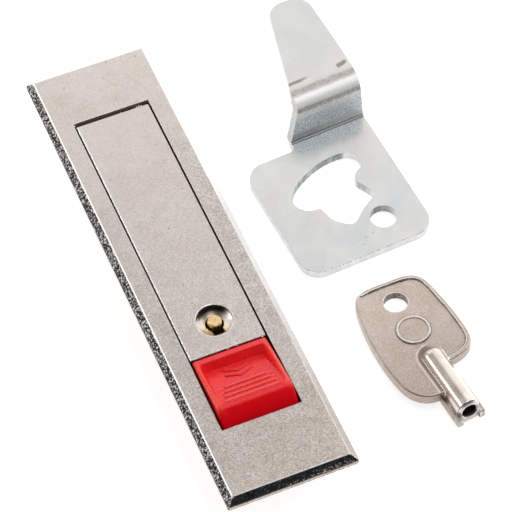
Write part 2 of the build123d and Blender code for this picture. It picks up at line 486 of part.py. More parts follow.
# the lower half of the tube runs on between the lugs
shank += (Pos(0, KEY_END_Y - 0.45, 0) * Rot(90, 0, 0) * Cylinder(KEY_TUBE_R, 0.9)) & box(-4, 4, -30, -20, -4, -0.6)
rails = box(-KEY_RAIL_X, KEY_RAIL_X, KEY_TIP_Y, -16, KEY_RAIL_Z0, KEY_RAIL_Z1)
rails = fillet(rails.edges().filter_by(Axis.Y).sort_by(Axis.Z)[-2:], 0.35)
rails = chamfer(rails.faces().sort_by(Axis.Y)[-1].edges().sort_by(Axis.Z)[:1], 1.2)
rails = chamfer(rails.faces().sort_by(Axis.Y)[0].edges(), 0.2)
rails -= box(-2.15, 2.15, KEY_TIP_Y - 1, KEY_END_Y - 0.9, -5, 5)
key = bow + shank + rails
key -= Pos(0, KEY_TIP_Y + 6, 0) * Rot(90, 0, 0) * Cylinder(KEY_BORE_R, 14)
# ring hole
key -= cyl_z(0.1, 8.95, 2.88, -3, 3)
key = key.clean()
tilt = Rot(-KEY_TILT, 0, 0)
key = Pos(KEY_X, KEY_CY, 0) * Rot(0, 0, KEY_ROT) * tilt * key
key = Pos(0, 0, FLOOR_Z - key.bounding_box().min.Z) * key
keep("key", key)

for name, shape in PARTS.items():
    bb = shape.bounding_box()
    print(f"{name:16s} solids {len(shape.solids())} vol {shape.volume:9.1f}  "
          f"x {bb.min.X:7.2f} {bb.max.X:7.2f}  y {bb.min.Y:7.2f} {bb.max.Y:7.2f}  z {bb.min.Z:7.2f} {bb.max.Z:7.2f}")
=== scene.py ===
import math

import bpy
import bmesh
from mathutils import Matrix, Vector


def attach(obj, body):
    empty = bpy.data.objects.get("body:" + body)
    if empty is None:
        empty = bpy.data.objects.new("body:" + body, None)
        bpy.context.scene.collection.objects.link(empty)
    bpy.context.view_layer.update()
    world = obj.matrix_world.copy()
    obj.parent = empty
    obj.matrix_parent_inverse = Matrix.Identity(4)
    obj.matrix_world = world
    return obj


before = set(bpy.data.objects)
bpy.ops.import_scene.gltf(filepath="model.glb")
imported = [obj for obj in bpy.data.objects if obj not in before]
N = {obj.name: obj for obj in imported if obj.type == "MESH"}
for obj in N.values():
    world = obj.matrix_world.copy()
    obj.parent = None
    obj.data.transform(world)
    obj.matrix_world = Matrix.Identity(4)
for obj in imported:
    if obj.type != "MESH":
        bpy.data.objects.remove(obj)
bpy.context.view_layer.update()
scene = bpy.context.scene
MM = 0.001

# ------------------------------------------------------------------ camera
AZ, EL, ROLL = -0.36618, 0.94139, -0.03442
DIST, FOCAL_PX = 663.50, 2881.93
TARGET = Vector((16.1626, -3.6923, 0.0))
back = Vector((math.sin(AZ) * math.cos(EL), -math.cos(AZ) * math.cos(EL), math.sin(EL)))
side = Vector((0, 0, 1)).cross(back).normalized()
up = back.cross(side)
cr, sr = math.cos(ROLL), math.sin(ROLL)
cam_x, cam_y = side * cr + up * sr, up * cr - side * sr
cam_data = bpy.data.cameras.new("camera")
cam_data.sensor_fit = "HORIZONTAL"
cam_data.sensor_width = 36.0
cam_data.lens = FOCAL_PX / 512.0 * 36.0
cam_data.clip_start = 0.01
cam_data.clip_end = 20.0
cam = bpy.data.objects.new("camera", cam_data)
scene.collection.objects.link(cam)
loc = (TARGET + back * DIST) * MM
cam.matrix_world = Matrix((
    (cam_x.x, cam_y.x, back.x, loc.x),
    (cam_x.y, cam_y.y, back.y, loc.y),
    (cam_x.z, cam_y.z, back.z, loc.z),
    (0, 0, 0, 1)))
scene.camera = cam
scene.view_settings.view_transform = "Standard"
scene.view_settings.look = "None"


# ------------------------------------------------------------------ material helper
class Mat:
    """A node material whose coordinates are the object's own, in millimetres."""

    def __init__(self, name):
        self.m = bpy.data.materials.new(name)
        self.m.use_nodes = True
        self.t = self.m.node_tree
        self.t.nodes.clear()
        self.out = self.t.nodes.new("ShaderNodeOutputMaterial")
        self.b = self.t.nodes.new("ShaderNodeBsdfPrincipled")
        self.t.links.new(self.b.outputs[0], self.out.inputs[0])
        tc = self.t.nodes.new("ShaderNodeTexCoord")
        self.co = self.vmath("SCALE", tc.outputs["Object"], scale=1000.0)
        self.geo = self.t.nodes.new("ShaderNodeNewGeometry")

    def put(self, socket, value):
        if isinstance(value, bpy.types.NodeSocket):
            self.t.links.new(value, socket)
        elif value is not None:
            socket.default_value = value

    def set(self, name, value):
        self.put(self.b.inputs[name], value)

    def vmath(self, op, a, b=None, scale=None):
        n = self.t.nodes.new("ShaderNodeVectorMath")
        n.operation = op
        self.put(n.inputs[0], a)
        if b is not None:
            self.put(n.inputs[1], b)
        if scale is not None:
            self.put(n.inputs["Scale"], scale)
        return n.outputs["Value"] if op in ("DOT_PRODUCT", "LENGTH", "DISTANCE") else n.outputs["Vector"]

    def math(self, op, a, b=None, clamp=False):
        n = self.t.nodes.new("ShaderNodeMath")
        n.operation = op
        n.use_clamp = clamp
        self.put(n.inputs[0], a)
        if b is not None:
            self.put(n.inputs[1], b)
        return n.outputs[0]

    def add(self, a, b):
        return self.math("ADD", a, b)

    def mul(self, a, b):
        return self.math("MULTIPLY", a, b)

    def sub(self, a, b):
        return self.math("SUBTRACT", a, b)

    def inv(self, a):
        return self.math("SUBTRACT", 1.0, a)

    def xyz(self, v):
        n = self.t.nodes.new("ShaderNodeSeparateXYZ")
        self.put(n.inputs[0], v)
        return n.outputs[0], n.outputs[1], n.outputs[2]

    def vec(self, x, y, z):
        n = self.t.nodes.new("ShaderNodeCombineXYZ")
        for s, v in zip(n.inputs, (x, y, z)):
            self.put(s, v)
        return n.outputs[0]

    def stretch(self, v, f):
        return self.vmath("MULTIPLY", v, f)

    def local(self, origin, angle):
        """Coordinates in a frame at origin (mm), turned by angle (radians) about Z."""
        v = self.vmath("SUBTRACT", self.co, origin)
        n = self.t.nodes.new("ShaderNodeVectorRotate")
        n.rotation_type = "Z_AXIS"
        self.put(n.inputs["Vector"], v)
        n.inputs["Angle"].default_value = -angle
        return n.outputs[0]

    def noise(self, scale, detail=3.0, rough=0.55, v=None, dist=0.0, colour=False):
        n = self.t.nodes.new("ShaderNodeTexNoise")
        self.put(n.inputs["Vector"], self.co if v is None else v)
        n.inputs["Scale"].default_value = scale
        n.inputs["Detail"].default_value = detail
        n.inputs["Roughness"].default_value = rough
        n.inputs["Distortion"].default_value = dist
        return n.outputs["Color"] if colour else n.outputs[0]

    def voronoi(self, scale, v=None, feature="F1", out="Distance", random=1.0):
        n = self.t.nodes.new("ShaderNodeTexVoronoi")
        n.feature = feature
        self.put(n.inputs["Vector"], self.co if v is None else v)
        n.inputs["Scale"].default_value = scale
        n.inputs["Randomness"].default_value = random
        return n.outputs[out]

    def fit(self, x, a, b, c=0.0, d=1.0, smooth=True):
        """x from a..b to c..d, held at the ends."""
        n = self.t.nodes.new("ShaderNodeMapRange")
        n.interpolation_type = "SMOOTHSTEP" if smooth else "LINEAR"
        self.put(n.inputs["Value"], x)
        for k, v in (("From Min", a), ("From Max", b), ("To Min", c), ("To Max", d)):
            self.put(n.inputs[k], v)
        return n.outputs["Result"]

    def band(self, x, a, b, soft):
        """1 between a and b, falling to 0 over soft on either side."""
        return self.mul(self.fit(x, a - soft, a), self.fit(x, b + soft, b))

    def mix(self, f, a, b):
        n = self.t.nodes.new("ShaderNodeMix")
        n.data_type = "RGBA"
        self.put(n.inputs["Factor"], f)
        self.put(n.inputs[6], a if isinstance(a, bpy.types.NodeSocket) else (*a, 1.0))
        self.put(n.inputs[7], b if isinstance(b, bpy.types.NodeSocket) else (*b, 1.0))
        return n.outputs[2]

    def mixf(self, f, a, b):
        n = self.t.nodes.new("ShaderNodeMix")
        n.data_type = "FLOAT"
        self.put(n.inputs["Factor"], f)
        self.put(n.inputs[2], a)
        self.put(n.inputs[3], b)
        return n.outputs[0]

    def round_edges(self, radius_mm):
        n = self.t.nodes.new("ShaderNodeBevel")
        n.samples = 6
        n.inputs["Radius"].default_value = radius_mm * MM
        return n.outputs[0]

    def bump(self, height, distance_mm, normal=None, strength=1.0):
        n = self.t.nodes.new("ShaderNodeBump")
        self.put(n.inputs["Strength"], strength)
        n.inputs["Distance"].default_value = distance_mm * MM
        self.put(n.inputs["Height"], height)
        if normal is not None:
            self.put(n.inputs["Normal"], normal)
        return n.outputs[0]

    def object_normal(self):
        n = self.t.nodes.new("ShaderNodeVectorTransform")
        n.vector_type = "NORMAL"
        n.convert_from, n.convert_to = "WORLD", "OBJECT"
        self.put(n.inputs[0], self.geo.outputs["True Normal"])
        return n.outputs[0]

    def crevice(self, distance_mm, lo=0.06, hi=0.4, samples=8):
        """0 in the open, 1 deep in a corner or a groove of this piece."""
        n = self.t.nodes.new("ShaderNodeAmbientOcclusion")
        n.samples = samples
        n.only_local = True
        n.inputs["Distance"].default_value = distance_mm * MM
        return self.fit(self.inv(n.outputs["AO"]), lo, hi)

    def crest(self, distance_mm, lo=0.12, hi=0.5, samples=8):
        """1 along an outward edge of this piece, 0 on open ground."""
        n = self.t.nodes.new("ShaderNodeAmbientOcclusion")
        n.samples = samples
        n.only_local = True
        n.inside = True
        n.inputs["Distance"].default_value = distance_mm * MM
        return self.fit(self.inv(n.outputs["AO"]), lo, hi)

    def either(self, a, b):
        return self.math("MAXIMUM", a, b)

    def edge(self, rounded):
        """About 0 on flat ground, more where the rounded normal leaves the face."""
        d = self.vmath("DOT_PRODUCT", self.geo.outputs["True Normal"], rounded)
        return self.inv(d)


def spots(M, places, v, wobble=0.4):
    """Sum of soft round marks: (x, y, radius, strength)."""
    x, y, _ = M.xyz(v)
    total = None
    for px, py, r, s in places:
        d = M.vmath("DISTANCE", M.vec(x, y, 0.0), (px, py, 0.0))
        d = M.add(d, M.mul(M.sub(M.noise(1.3, 3.0, v=v), 0.5), 2 * wobble * r))
        f = M.fit(d, r, 0.0, 0.0, s)
        total = f if total is None else M.add(total, f)
    return total


# ------------------------------------------------------------------ satin nickel: plate and handle
def satin_nickel(name, on_plate):
    M = Mat(name)
    x, y, z = M.xyz(M.co)
    ax = M.math("ABSOLUTE", x)
    nx, ny, nz = M.xyz(M.object_normal())
    slope = M.mul(M.fit(nz, 0.98, 0.9), M.fit(nz, 0.3, 0.5))         # the bevels
    side = M.fit(nz, 0.45, 0.2)
    grain = M.noise(2.2, 4.0, 0.7)
    fine = M.noise(3.3, 2.0, 0.6)
    cloud = M.noise(0.085, 4.0, 0.6)
    rounded = M.round_edges(0.22)
    # how rough the skin is: smooth at the hinge end, granular at the button's end and on the right
    if on_plate:
        amount = M.fit(y, 40.0, -50.0, 0.3, 1.0)
        amount = M.math("MAXIMUM", amount, M.mul(M.fit(x, 9.2, 10.6), M.fit(y, 52.0, 10.0, 0.25, 0.9)))
    else:
        amount = M.fit(y, 44.0, -24.0, 0.24, 0.66)
    # colour: warm nickel, clouded and a little stained
    col = M.mix(M.fit(cloud, 0.3, 0.7), (0.682, 0.612, 0.565), (0.735, 0.665, 0.618))
    col = M.mix(M.mul(M.fit(grain, 0.48, 0.6), M.mul(amount, 0.68)), col, (0.37, 0.31, 0.272))
    col = M.mix(M.mul(M.fit(fine, 0.52, 0.63), M.mul(amount, 0.8)), col, (1.0, 0.97, 0.94))
    broad = M.noise(0.3, 3.0, 0.6)
    col = M.mix(M.mul(M.fit(broad, 0.42, 0.66), M.mul(amount, 0.26)), col, (0.42, 0.34, 0.285))
    # the top is darkened towards the button's end: painted shade standing in for the light's falloff
    if on_plate:
        col = M.vmath("SCALE", col, scale=M.fit(y, 62.0, -60.0, 0.94, 0.74, smooth=False))
        col = M.mix(M.fit(y, -20.0, -60.0, 0.0, 0.12), col, (0.42, 0.31, 0.24))
    else:
        col = M.vmath("SCALE", col, scale=M.fit(y, 45.0, -25.0, 0.93, 0.88, smooth=False))
    # pits: sparse small dark points
    cell = M.voronoi(0.42, out="Color")
    cx, cy, cz = M.xyz(cell)
    pit = M.mul(M.fit(M.voronoi(0.42), 0.16, 0.06), M.fit(cx, 0.72, 0.78))
    col = M.mix(M.mul(pit, 0.55), col, (0.27, 0.21, 0.17))
    if on_plate:
        marks = spots(M, [(-9.5, 55.5, 2.8, 0.16), (11.8, 30.0, 2.0, 0.22), (-12.6, 20.0, 2.2, 0.15), (12.4, -5.0, 2.2, 0.3),
                          (4.0, 58.0, 3.2, 0.1), (-3.0, -55.0, 4.0, 0.16), (12.2, 10.0, 1.8, 0.22), (11.6, -14.5, 1.6, 0.34),
                          (-6.5, 50.6, 2.6, 0.16), (3.0, 50.6, 2.4, 0.14), (12.6, -21.0, 2.0, 0.25), (9.0, -52.0, 4.5, 0.12)], M.co)
    else:
        marks = spots(M, [(2.5, 30.4, 0.4, 0.6), (6.3, 33.8, 0.35, 0.6), (5.8, 28.1, 0.45, 0.6), (6.4, 28.9, 0.3, 0.55), (5.1, 27.4, 0.35, 0.45),
                          (-5.5, 12.8, 3.6, 0.14), (-3.2, 9.0, 2.2, 0.12), (-1.0, 26.5, 0.3, 0.3), (-1.9, 26.7, 0.3, 0.3), (-2.8, 26.9, 0.3, 0.3),
                          (3.2, 14.0, 0.35, 0.4), (5.0, 4.5, 0.4, 0.4), (2.5, -2.0, 0.5, 0.25)], M.co)
    marks = M.mul(marks, M.fit(grain, 0.38, 0.6, 0.45, 1.25))
    col = M.mix(marks, col, (0.33, 0.27, 0.22))
    # as-cast bevels: a speckle, black between bright grains, laid mostly black on the left bevel as painted shade
    salt = M.fit(M.noise(1.9, 3.0, 0.8), 0.52, 0.56)
    speck_with_painted_shade = M.mix(salt, (0.004, 0.003, 0.003), (0.55, 0.52, 0.495))
    # edges rubbed bright, and painted bright as their highlight
    worn_and_highlit = M.mul(M.edge(rounded), 5.0)
    bright = (0.97, 0.95, 0.93)
    recess_painted_shade = (0.035, 0.022, 0.016)
    if on_plate:
        top_edges = M.math("MULTIPLY", worn_and_highlit, M.fit(z, 1.0, 1.3), clamp=True)
        col = M.mix(M.mul(top_edges, 0.6), col, bright)
        # the left bevel gets the speckle almost fully: painted shade
        left = M.mul(M.fit(nx, -0.4, -0.6), M.fit(x, -13.0, -13.6))
        front = M.mul(slope, M.fit(ny, -0.4, -0.6))
        right_side = M.mul(slope, M.fit(nx, 0.4, 0.6))
        # painted glints on the front bevel, thick to the right and low down; the bevel itself is painted dark
        # blue-black as shade
        more = M.mul(M.fit(x, -11.0, 9.0), M.fit(z, 2.2, 1.1))
        painted_glint_mask = M.fit(M.add(M.noise(2.5, 3.0, 0.75), M.mul(more, 0.14)), 0.64, 0.675)
        painted_glint_colour = M.mix(M.fit(M.noise(2.0, 2.0, 0.5), 0.4, 0.6), (0.95, 0.93, 0.9), (0.55, 0.44, 0.36))
        blue = M.mix(M.fit(M.noise(0.5, 3.0, 0.6), 0.35, 0.65), (0.012, 0.014, 0.017), (0.035, 0.045, 0.055))
        dark = M.mix(M.mul(painted_glint_mask, 0.9), blue, painted_glint_colour)
        col = M.mix(M.mul(left, 0.97), col, speck_with_painted_shade)
        col = M.mix(M.mul(front, 0.97), col, dark)
        brown_edge = M.mul(M.mul(M.fit(ny, -0.4, -0.6), M.fit(y, -62.5, -63.0)), M.band(z, 1.0, 1.12, 0.06))
        col = M.mix(M.mul(brown_edge, 0.8), col, (0.3, 0.17, 0.1))
        # the right bevel painted pale, brighter towards the hinge end: painted light
        lit = M.mix(M.fit(y, -62.0, 20.0), (0.62, 0.575, 0.535), (0.97, 0.96, 0.95))
        lit = M.mix(M.mul(M.fit(grain, 0.46, 0.66), M.fit(y, 10.0, -50.0, 0.0, 0.5)), lit, (0.36, 0.31, 0.28))
        col = M.mix(M.mul(right_side, 0.95), col, lit)
        # painted highlight along the top of the right bevel, stronger towards the button's end
        right_highlight_line = M.mul(M.band(x, 13.75, 13.98, 0.08), M.fit(z, 2.2, 2.45))
        col = M.mix(M.mul(right_highlight_line, M.fit(y, -20.0, -45.0, 0.0, 0.55)), col, (0.93, 0.85, 0.78))
        # painted highlight: the thin bright line along the top of the left bevel
        line = M.mul(M.band(x, -14.0, -13.78, 0.1), M.fit(z, 2.2, 2.45))
        col = M.mix(line, col, (1.0, 1.0, 1.0))
        # painted highlights along the front edge and on the mitred corners
        front_highlight_line = M.mul(M.band(y, -62.86, -62.7, 0.08), M.fit(z, 2.2, 2.45))
        col = M.mix(M.mul(front_highlight_line, 0.4), col, bright)
        mitre_highlight = M.mul(M.mul(M.fit(M.edge(rounded), 0.004, 0.03), M.fit(M.math("ABSOLUTE", y), 62.5, 62.8)), M.fit(ax, 13.7, 14.0))
        mitre_highlight = M.mul(mitre_highlight, M.fit(z, 0.9, 1.2))
        col = M.mix(mitre_highlight, col, (1.0, 1.0, 1.0))
        # inside the window the wall is stained brown, and painted near-black further down as shade
        inside = M.mul(M.mul(M.fit(ax, 9.9, 9.7), M.band(y, -46.4, 47.6, 0.1)), M.fit(z, 2.5, 2.2))
        gap_top = M.mul(M.fit(y, 47.0, 47.3), M.fit(z, 0.9, 1.5))
        tint = M.mix(M.fit(grain, 0.35, 0.6), (0.36, 0.24, 0.16), (0.52, 0.39, 0.3))
        upper = M.mul(M.fit(z, 1.5, 2.3), 0.45)
        col = M.mix(inside, col, M.mix(M.either(gap_top, upper), recess_painted_shade, tint))
        # further down it is the bare, dull casting
        bare = M.mul(M.mul(M.fit(ax, 9.9, 9.7), M.band(y, -46.4, 47.6, 0.1)), M.fit(z, -0.6, -2.6))
        col = M.mix(bare, col, M.mix(M.fit(grain, 0.35, 0.65), (0.3, 0.285, 0.27), (0.42, 0.4, 0.385)))
        metal = M.inv(M.mul(M.sub(inside, M.mul(bare, 0.6)), 0.85))
    else:
        top_edges = M.math("MULTIPLY", worn_and_highlit, M.fit(z, 1.6, 2.0), clamp=True)
        col = M.mix(M.mul(top_edges, 0.7), col, bright)
        # painted highlight along the handle's left top edge
        left_highlight_line = M.mul(M.fit(x, -8.74, -8.9), M.fit(z, 2.15, 2.3))
        col = M.mix(left_highlight_line, col, (1.0, 1.0, 1.0))
        # the handle's sides below its top are painted near-black: painted shade in the gap
        flank_painted_shade = M.mul(M.mul(side, M.fit(z, 2.35, 2.1)), M.fit(z, -9.0, -8.0))
        hole = M.vmath("DISTANCE", M.vec(x, y, 0.0), (0.0, -18.2, 0.0))
        flank_painted_shade = M.mul(flank_painted_shade, M.fit(hole, 5.0, 6.0))
        flank_painted_shade = M.mul(M.mul(flank_painted_shade, M.fit(nz, -0.35, -0.1)), M.fit(z, -2.4, -0.4))
        bare = M.mul(M.fit(nz, 0.45, 0.2), M.fit(z, 0.6, -0.6))
        col = M.mix(M.mul(bare, M.fit(hole, 4.6, 5.2)), col, M.mix(M.fit(grain, 0.35, 0.65), (0.34, 0.32, 0.3), (0.46, 0.44, 0.42)))
        col = M.mix(flank_painted_shade, col, recess_painted_shade)
        # the mouth of the keyhole is polished by the key, and painted near-white as its highlight
        mouth = M.mul(M.fit(hole, 4.55, 4.4), M.fit(z, 2.0, 2.2))
        col = M.mix(mouth, col, (0.97, 0.93, 0.88))
        worn_and_highlit = M.add(M.add(worn_and_highlit, mouth), left_highlight_line)
        metal = M.inv(M.mul(flank_painted_shade, 0.85))
    M.set("Base Color", col)
    M.set("Metallic", metal)
    rough = M.add(M.fit(grain, 0.3, 0.75, 0.28, 0.43), M.mul(side, 0.1))
    rough = M.mixf(M.math("MULTIPLY", worn_and_highlit, 1.0, clamp=True), rough, 0.18)
    M.set("Roughness", rough)
    h = M.add(M.mul(grain, 0.55), M.mul(fine, 0.35))
    h = M.sub(h, M.mul(pit, 0.5))
    h = M.add(h, M.mul(M.mul(salt, slope), 0.25))
    amp = M.add(M.mul(slope, 0.5), M.mul(amount, 0.5))
    M.set("Normal", M.bump(M.mul(h, amp), 0.16, rounded))
    return M.m


# ------------------------------------------------------------------ pressed zinc-plated steel
def zinc_plate():
    M = Mat("zinc_plate")
    v = M.local((51.78, 3.65, -15.0), math.radians(3.6))
    x, y, z = M.xyz(v)
    nx, ny, nz = M.xyz(M.object_normal())
    side = M.fit(M.math("ABSOLUTE", nz), 0.5, 0.2)
    flat = M.fit(nz, 0.9, 0.97)
    rounded = M.round_edges(0.15)
    cloud = M.noise(0.16, 3.0, 0.55, v)
    fine = M.noise(3.4, 2.0, 0.6, v)
    rolled = M.noise(0.5, 2.0, 0.5, M.stretch(v, (1.0, 0.4, 1.0)))
    col = M.mix(M.fit(cloud, 0.32, 0.68), (0.655, 0.67, 0.66), (0.705, 0.705, 0.69))
    film = M.noise(0.07, 2.0, 0.5, M.stretch(v, (1.0, 0.6, 1.0)))
    col = M.mix(M.fit(film, 0.5, 0.68, 0.0, 0.42), col, (0.74, 0.65, 0.62))
    col = M.mix(M.fit(film, 0.46, 0.3, 0.0, 0.4), col, (0.57, 0.66, 0.72))
    # pale clouds with an edge, left by the bath
    bath = M.noise(0.11, 2.0, 0.4, M.vmath("ADD", v, (31.0, 7.0, 0.0)), dist=0.6)
    col = M.mix(M.mul(M.fit(bath, 0.53, 0.56), 0.24), col, (0.8, 0.79, 0.73))
    col = M.mix(M.mul(M.fit(fine, 0.56, 0.72), 0.1), col, (0.45, 0.46, 0.47))
    # the tongue is darkened: painted shade standing in for the light it gets
    col = M.mix(M.fit(y, 34.0, 44.0, 0.0, 0.35), col, (0.6, 0.585, 0.565))
    # where the press gripped it, on both sides of the crease: blue-grey and stippled
    stipple = M.noise(1.8, 4.0, 0.75, v)
    grains = M.fit(M.noise(3.1, 3.0, 0.7, v), 0.36, 0.64)
    blue = M.mix(grains, (0.34, 0.39, 0.45), (0.84, 0.88, 0.9))
    ragged = M.mul(M.sub(M.noise(0.6, 4.0, 0.7, v), 0.5), 3.0)
    below = M.mul(M.mul(M.fit(M.add(y, ragged), 24.2, 26.2), M.fit(y, 29.65, 29.5)), M.band(M.add(x, ragged), -9.2, 7.6, 0.7))
    below = M.mul(below, flat)
    below = M.mul(below, M.fit(M.noise(0.35, 3.0, 0.6, v), 0.3, 0.5, 0.55, 1.0))
    col = M.mix(M.mul(below, 0.85), col, blue)
    # s runs up the riser and over the outer bend on to the tongue
    s = M.add(z, M.mul(M.math("MAXIMUM", M.sub(y, 33.3), 0.0), M.fit(z, 11.0, 12.0)))
    front = M.mul(M.mul(M.fit(y, 29.4, 29.55), M.fit(z, 2.35, 2.5)), M.math("MAXIMUM", M.fit(ny, 0.1, -0.1), flat))
    sr = M.add(s, M.mul(ragged, 0.3))
    # the riser is painted pale: painted light
    riser_painted_light = M.mix(M.fit(stipple, 0.36, 0.62), (0.66, 0.68, 0.66), (0.9, 0.92, 0.9))
    col = M.mix(M.mul(front, M.mul(M.fit(s, 13.2, 11.8), 0.9)), col, riser_painted_light)
    def lay(c, lo, hi, soft, amount, tone):
        return M.mix(M.mul(M.mul(front, M.band(sr, lo, hi, soft)), amount), c, tone)
    bluer = M.mix(grains, (0.36, 0.43, 0.5), (0.93, 0.98, 1.0))
    col = lay(col, 5.2, 8.4, 0.9, 0.85, bluer)
    band_painted_shade_tone = M.mix(M.fit(stipple, 0.4, 0.6), (0.25, 0.22, 0.2), (0.52, 0.47, 0.43))
    # painted shade: a dark band above the crease, darker to the left
    col = lay(col, 2.6, 4.2, 0.9, M.fit(x, 6.0, -8.0, 0.25, 0.8), M.mix(grains, (0.26, 0.29, 0.31), (0.56, 0.59, 0.6)))
    # painted shade bands either side of the painted white highlight on the outer bend
    col = lay(col, 10.7, 11.2, 0.55, 0.75, band_painted_shade_tone)
    col = lay(col, 12.0, 13.6, 0.5, 0.9, M.mix(M.fit(stipple, 0.4, 0.6), (0.96, 0.95, 0.93), (1.0, 1.0, 0.99)))
    col = lay(col, 14.9, 15.7, 0.8, 0.62, band_painted_shade_tone)
    # the crease itself: dark, bright, dark, painted as shade, highlight and shade
    crease = M.mul(M.band(y, 29.18, 29.3, 0.06), M.fit(z, 2.6, 2.2))
    crease2 = M.mul(M.band(z, 2.62, 2.78, 0.07), M.fit(y, 29.5, 29.6))
    crease_painted_highlight = M.mul(M.band(y, 29.36, 29.75, 0.04), M.band(z, 2.2, 2.58, 0.04))
    crease_groove_and_shade = M.either(crease, crease2)
    col = M.mix(M.mul(crease_painted_highlight, 0.8), col, (0.93, 0.94, 0.95))
    col = M.mix(M.mul(crease_groove_and_shade, 0.85), col, (0.045, 0.045, 0.05))
    # brown rub marks by the outer bend, and small stains and scratches
    scuff = M.noise(1.3, 4.0, 0.75, M.stretch(v, (0.45, 1.5, 1.0)))
    wave = M.mul(M.sub(M.noise(0.5, 2.0, 0.5, v), 0.5), 1.2)
    wave = M.mul(wave, 0.45)
    rub_a = M.mul(M.band(M.add(M.sub(y, M.mul(x, 0.05)), wave), 38.5, 38.75, 0.75), M.fit(x, 2.6, -4.0))
    rub_b = M.mul(M.band(M.add(M.sub(y, M.mul(x, 0.2)), wave), 36.7, 37.2, 0.85), M.band(x, 7.7, 9.4, 1.2))
    rub = M.fit(M.add(M.mul(M.either(rub_a, rub_b), 0.75), M.mul(scuff, 0.55)), 0.45, 1.0)
    col = M.mix(M.mul(rub, 0.85), col, (0.27, 0.215, 0.185))
    marks = spots(M, [(-3.1, 60.2, 0.5, 0.5), (-6.4, -3.6, 0.5, 0.45), (-4.4, -3.2, 0.45, 0.4), (-8.0, -5.2, 0.4, 0.5), (5.2, -3.5, 0.3, 0.4),
                      (4.6, 27.0, 0.6, 0.35), (5.8, 25.2, 0.5, 0.3), (-14.0, 2.0, 1.5, 0.1), (-1.0, 45.0, 0.5, 0.25), (4.2, 21.5, 1.4, 0.12)], v)
    col = M.mix(marks, col, (0.3, 0.26, 0.24))
    scratch = M.noise(1.0, 3.0, 0.6, M.stretch(v, (2.2, 0.12, 1.0)))
    col = M.mix(M.mul(M.fit(scratch, 0.68, 0.74), 0.2), col, (0.5, 0.5, 0.5))
    # sheared edges: pale outside; inside the window and the hole, walls facing the front are painted darker as shade
    win = M.vmath("DISTANCE", M.vec(x, y, 0.0), (-7.4, 11.2, 0.0))
    hole = M.vmath("DISTANCE", M.vec(x, y, 0.0), (0.0, 0.0, 0.0))
    hole_wall_painted_shade = M.mul(M.either(M.fit(win, 12.9, 12.5), M.fit(hole, 4.2, 3.8)), side)
    shear = M.fit(M.noise(0.7, 3.0, 0.6, M.stretch(v, (1.0, 1.0, 0.25))), 0.35, 0.65)
    outer = M.mul(side, M.fit(z, 2.5, 2.2))
    col = M.mix(M.mul(outer, 0.8), col, M.mix(shear, (0.62, 0.655, 0.64), (0.72, 0.75, 0.735)))
    facing = M.fit(ny, -0.1, -0.8)
    col = M.mix(M.mul(hole_wall_painted_shade, M.mul(facing, 0.85)), col, M.mix(shear, (0.1, 0.12, 0.12), (0.36, 0.41, 0.4)))
    strip = M.mul(M.mul(M.fit(nx, -0.5, -0.7), M.fit(z, 2.3, 2.7)), M.fit(y, 28.0, 29.0))
    col = M.mix(M.mul(strip, 0.75), col, M.mix(M.fit(stipple, 0.4, 0.6), (0.6, 0.6, 0.58), (0.8, 0.79, 0.76)))
    # broken dark burr along the lower sheared edge
    dashes = M.fit(M.noise(1.5, 3.0, 0.7, M.stretch(v, (1.0, 1.0, 0.0))), 0.48, 0.54)
    burr = M.mul(M.mul(M.band(z, 2.12, 2.3, 0.08), side), M.mul(dashes, M.fit(y, 6.0, -4.0)))
    col = M.mix(M.mul(burr, 0.85), col, (0.12, 0.1, 0.09))
    M.set("Base Color", col)
    on_bend = M.mul(front, M.fit(s, 18.0, 15.5))
    M.set("Metallic", M.inv(M.math("MULTIPLY", M.add(M.mul(below, 0.5), M.mul(on_bend, 0.7)), 1.0, clamp=True)))
    rough = M.fit(rolled, 0.3, 0.7, 0.3, 0.36)
    rough = M.mixf(M.math("MAXIMUM", below, on_bend), rough, 0.46)
    M.set("Roughness", rough)
    h = M.add(M.mul(fine, 0.03), M.mul(rolled, 0.2))
    h = M.add(h, M.mul(M.mul(stipple, M.either(below, on_bend)), 0.9))
    h = M.sub(h, M.mul(crease_groove_and_shade, 1.5))
    M.set("Normal", M.bump(h, 0.03, rounded))
    return M.m


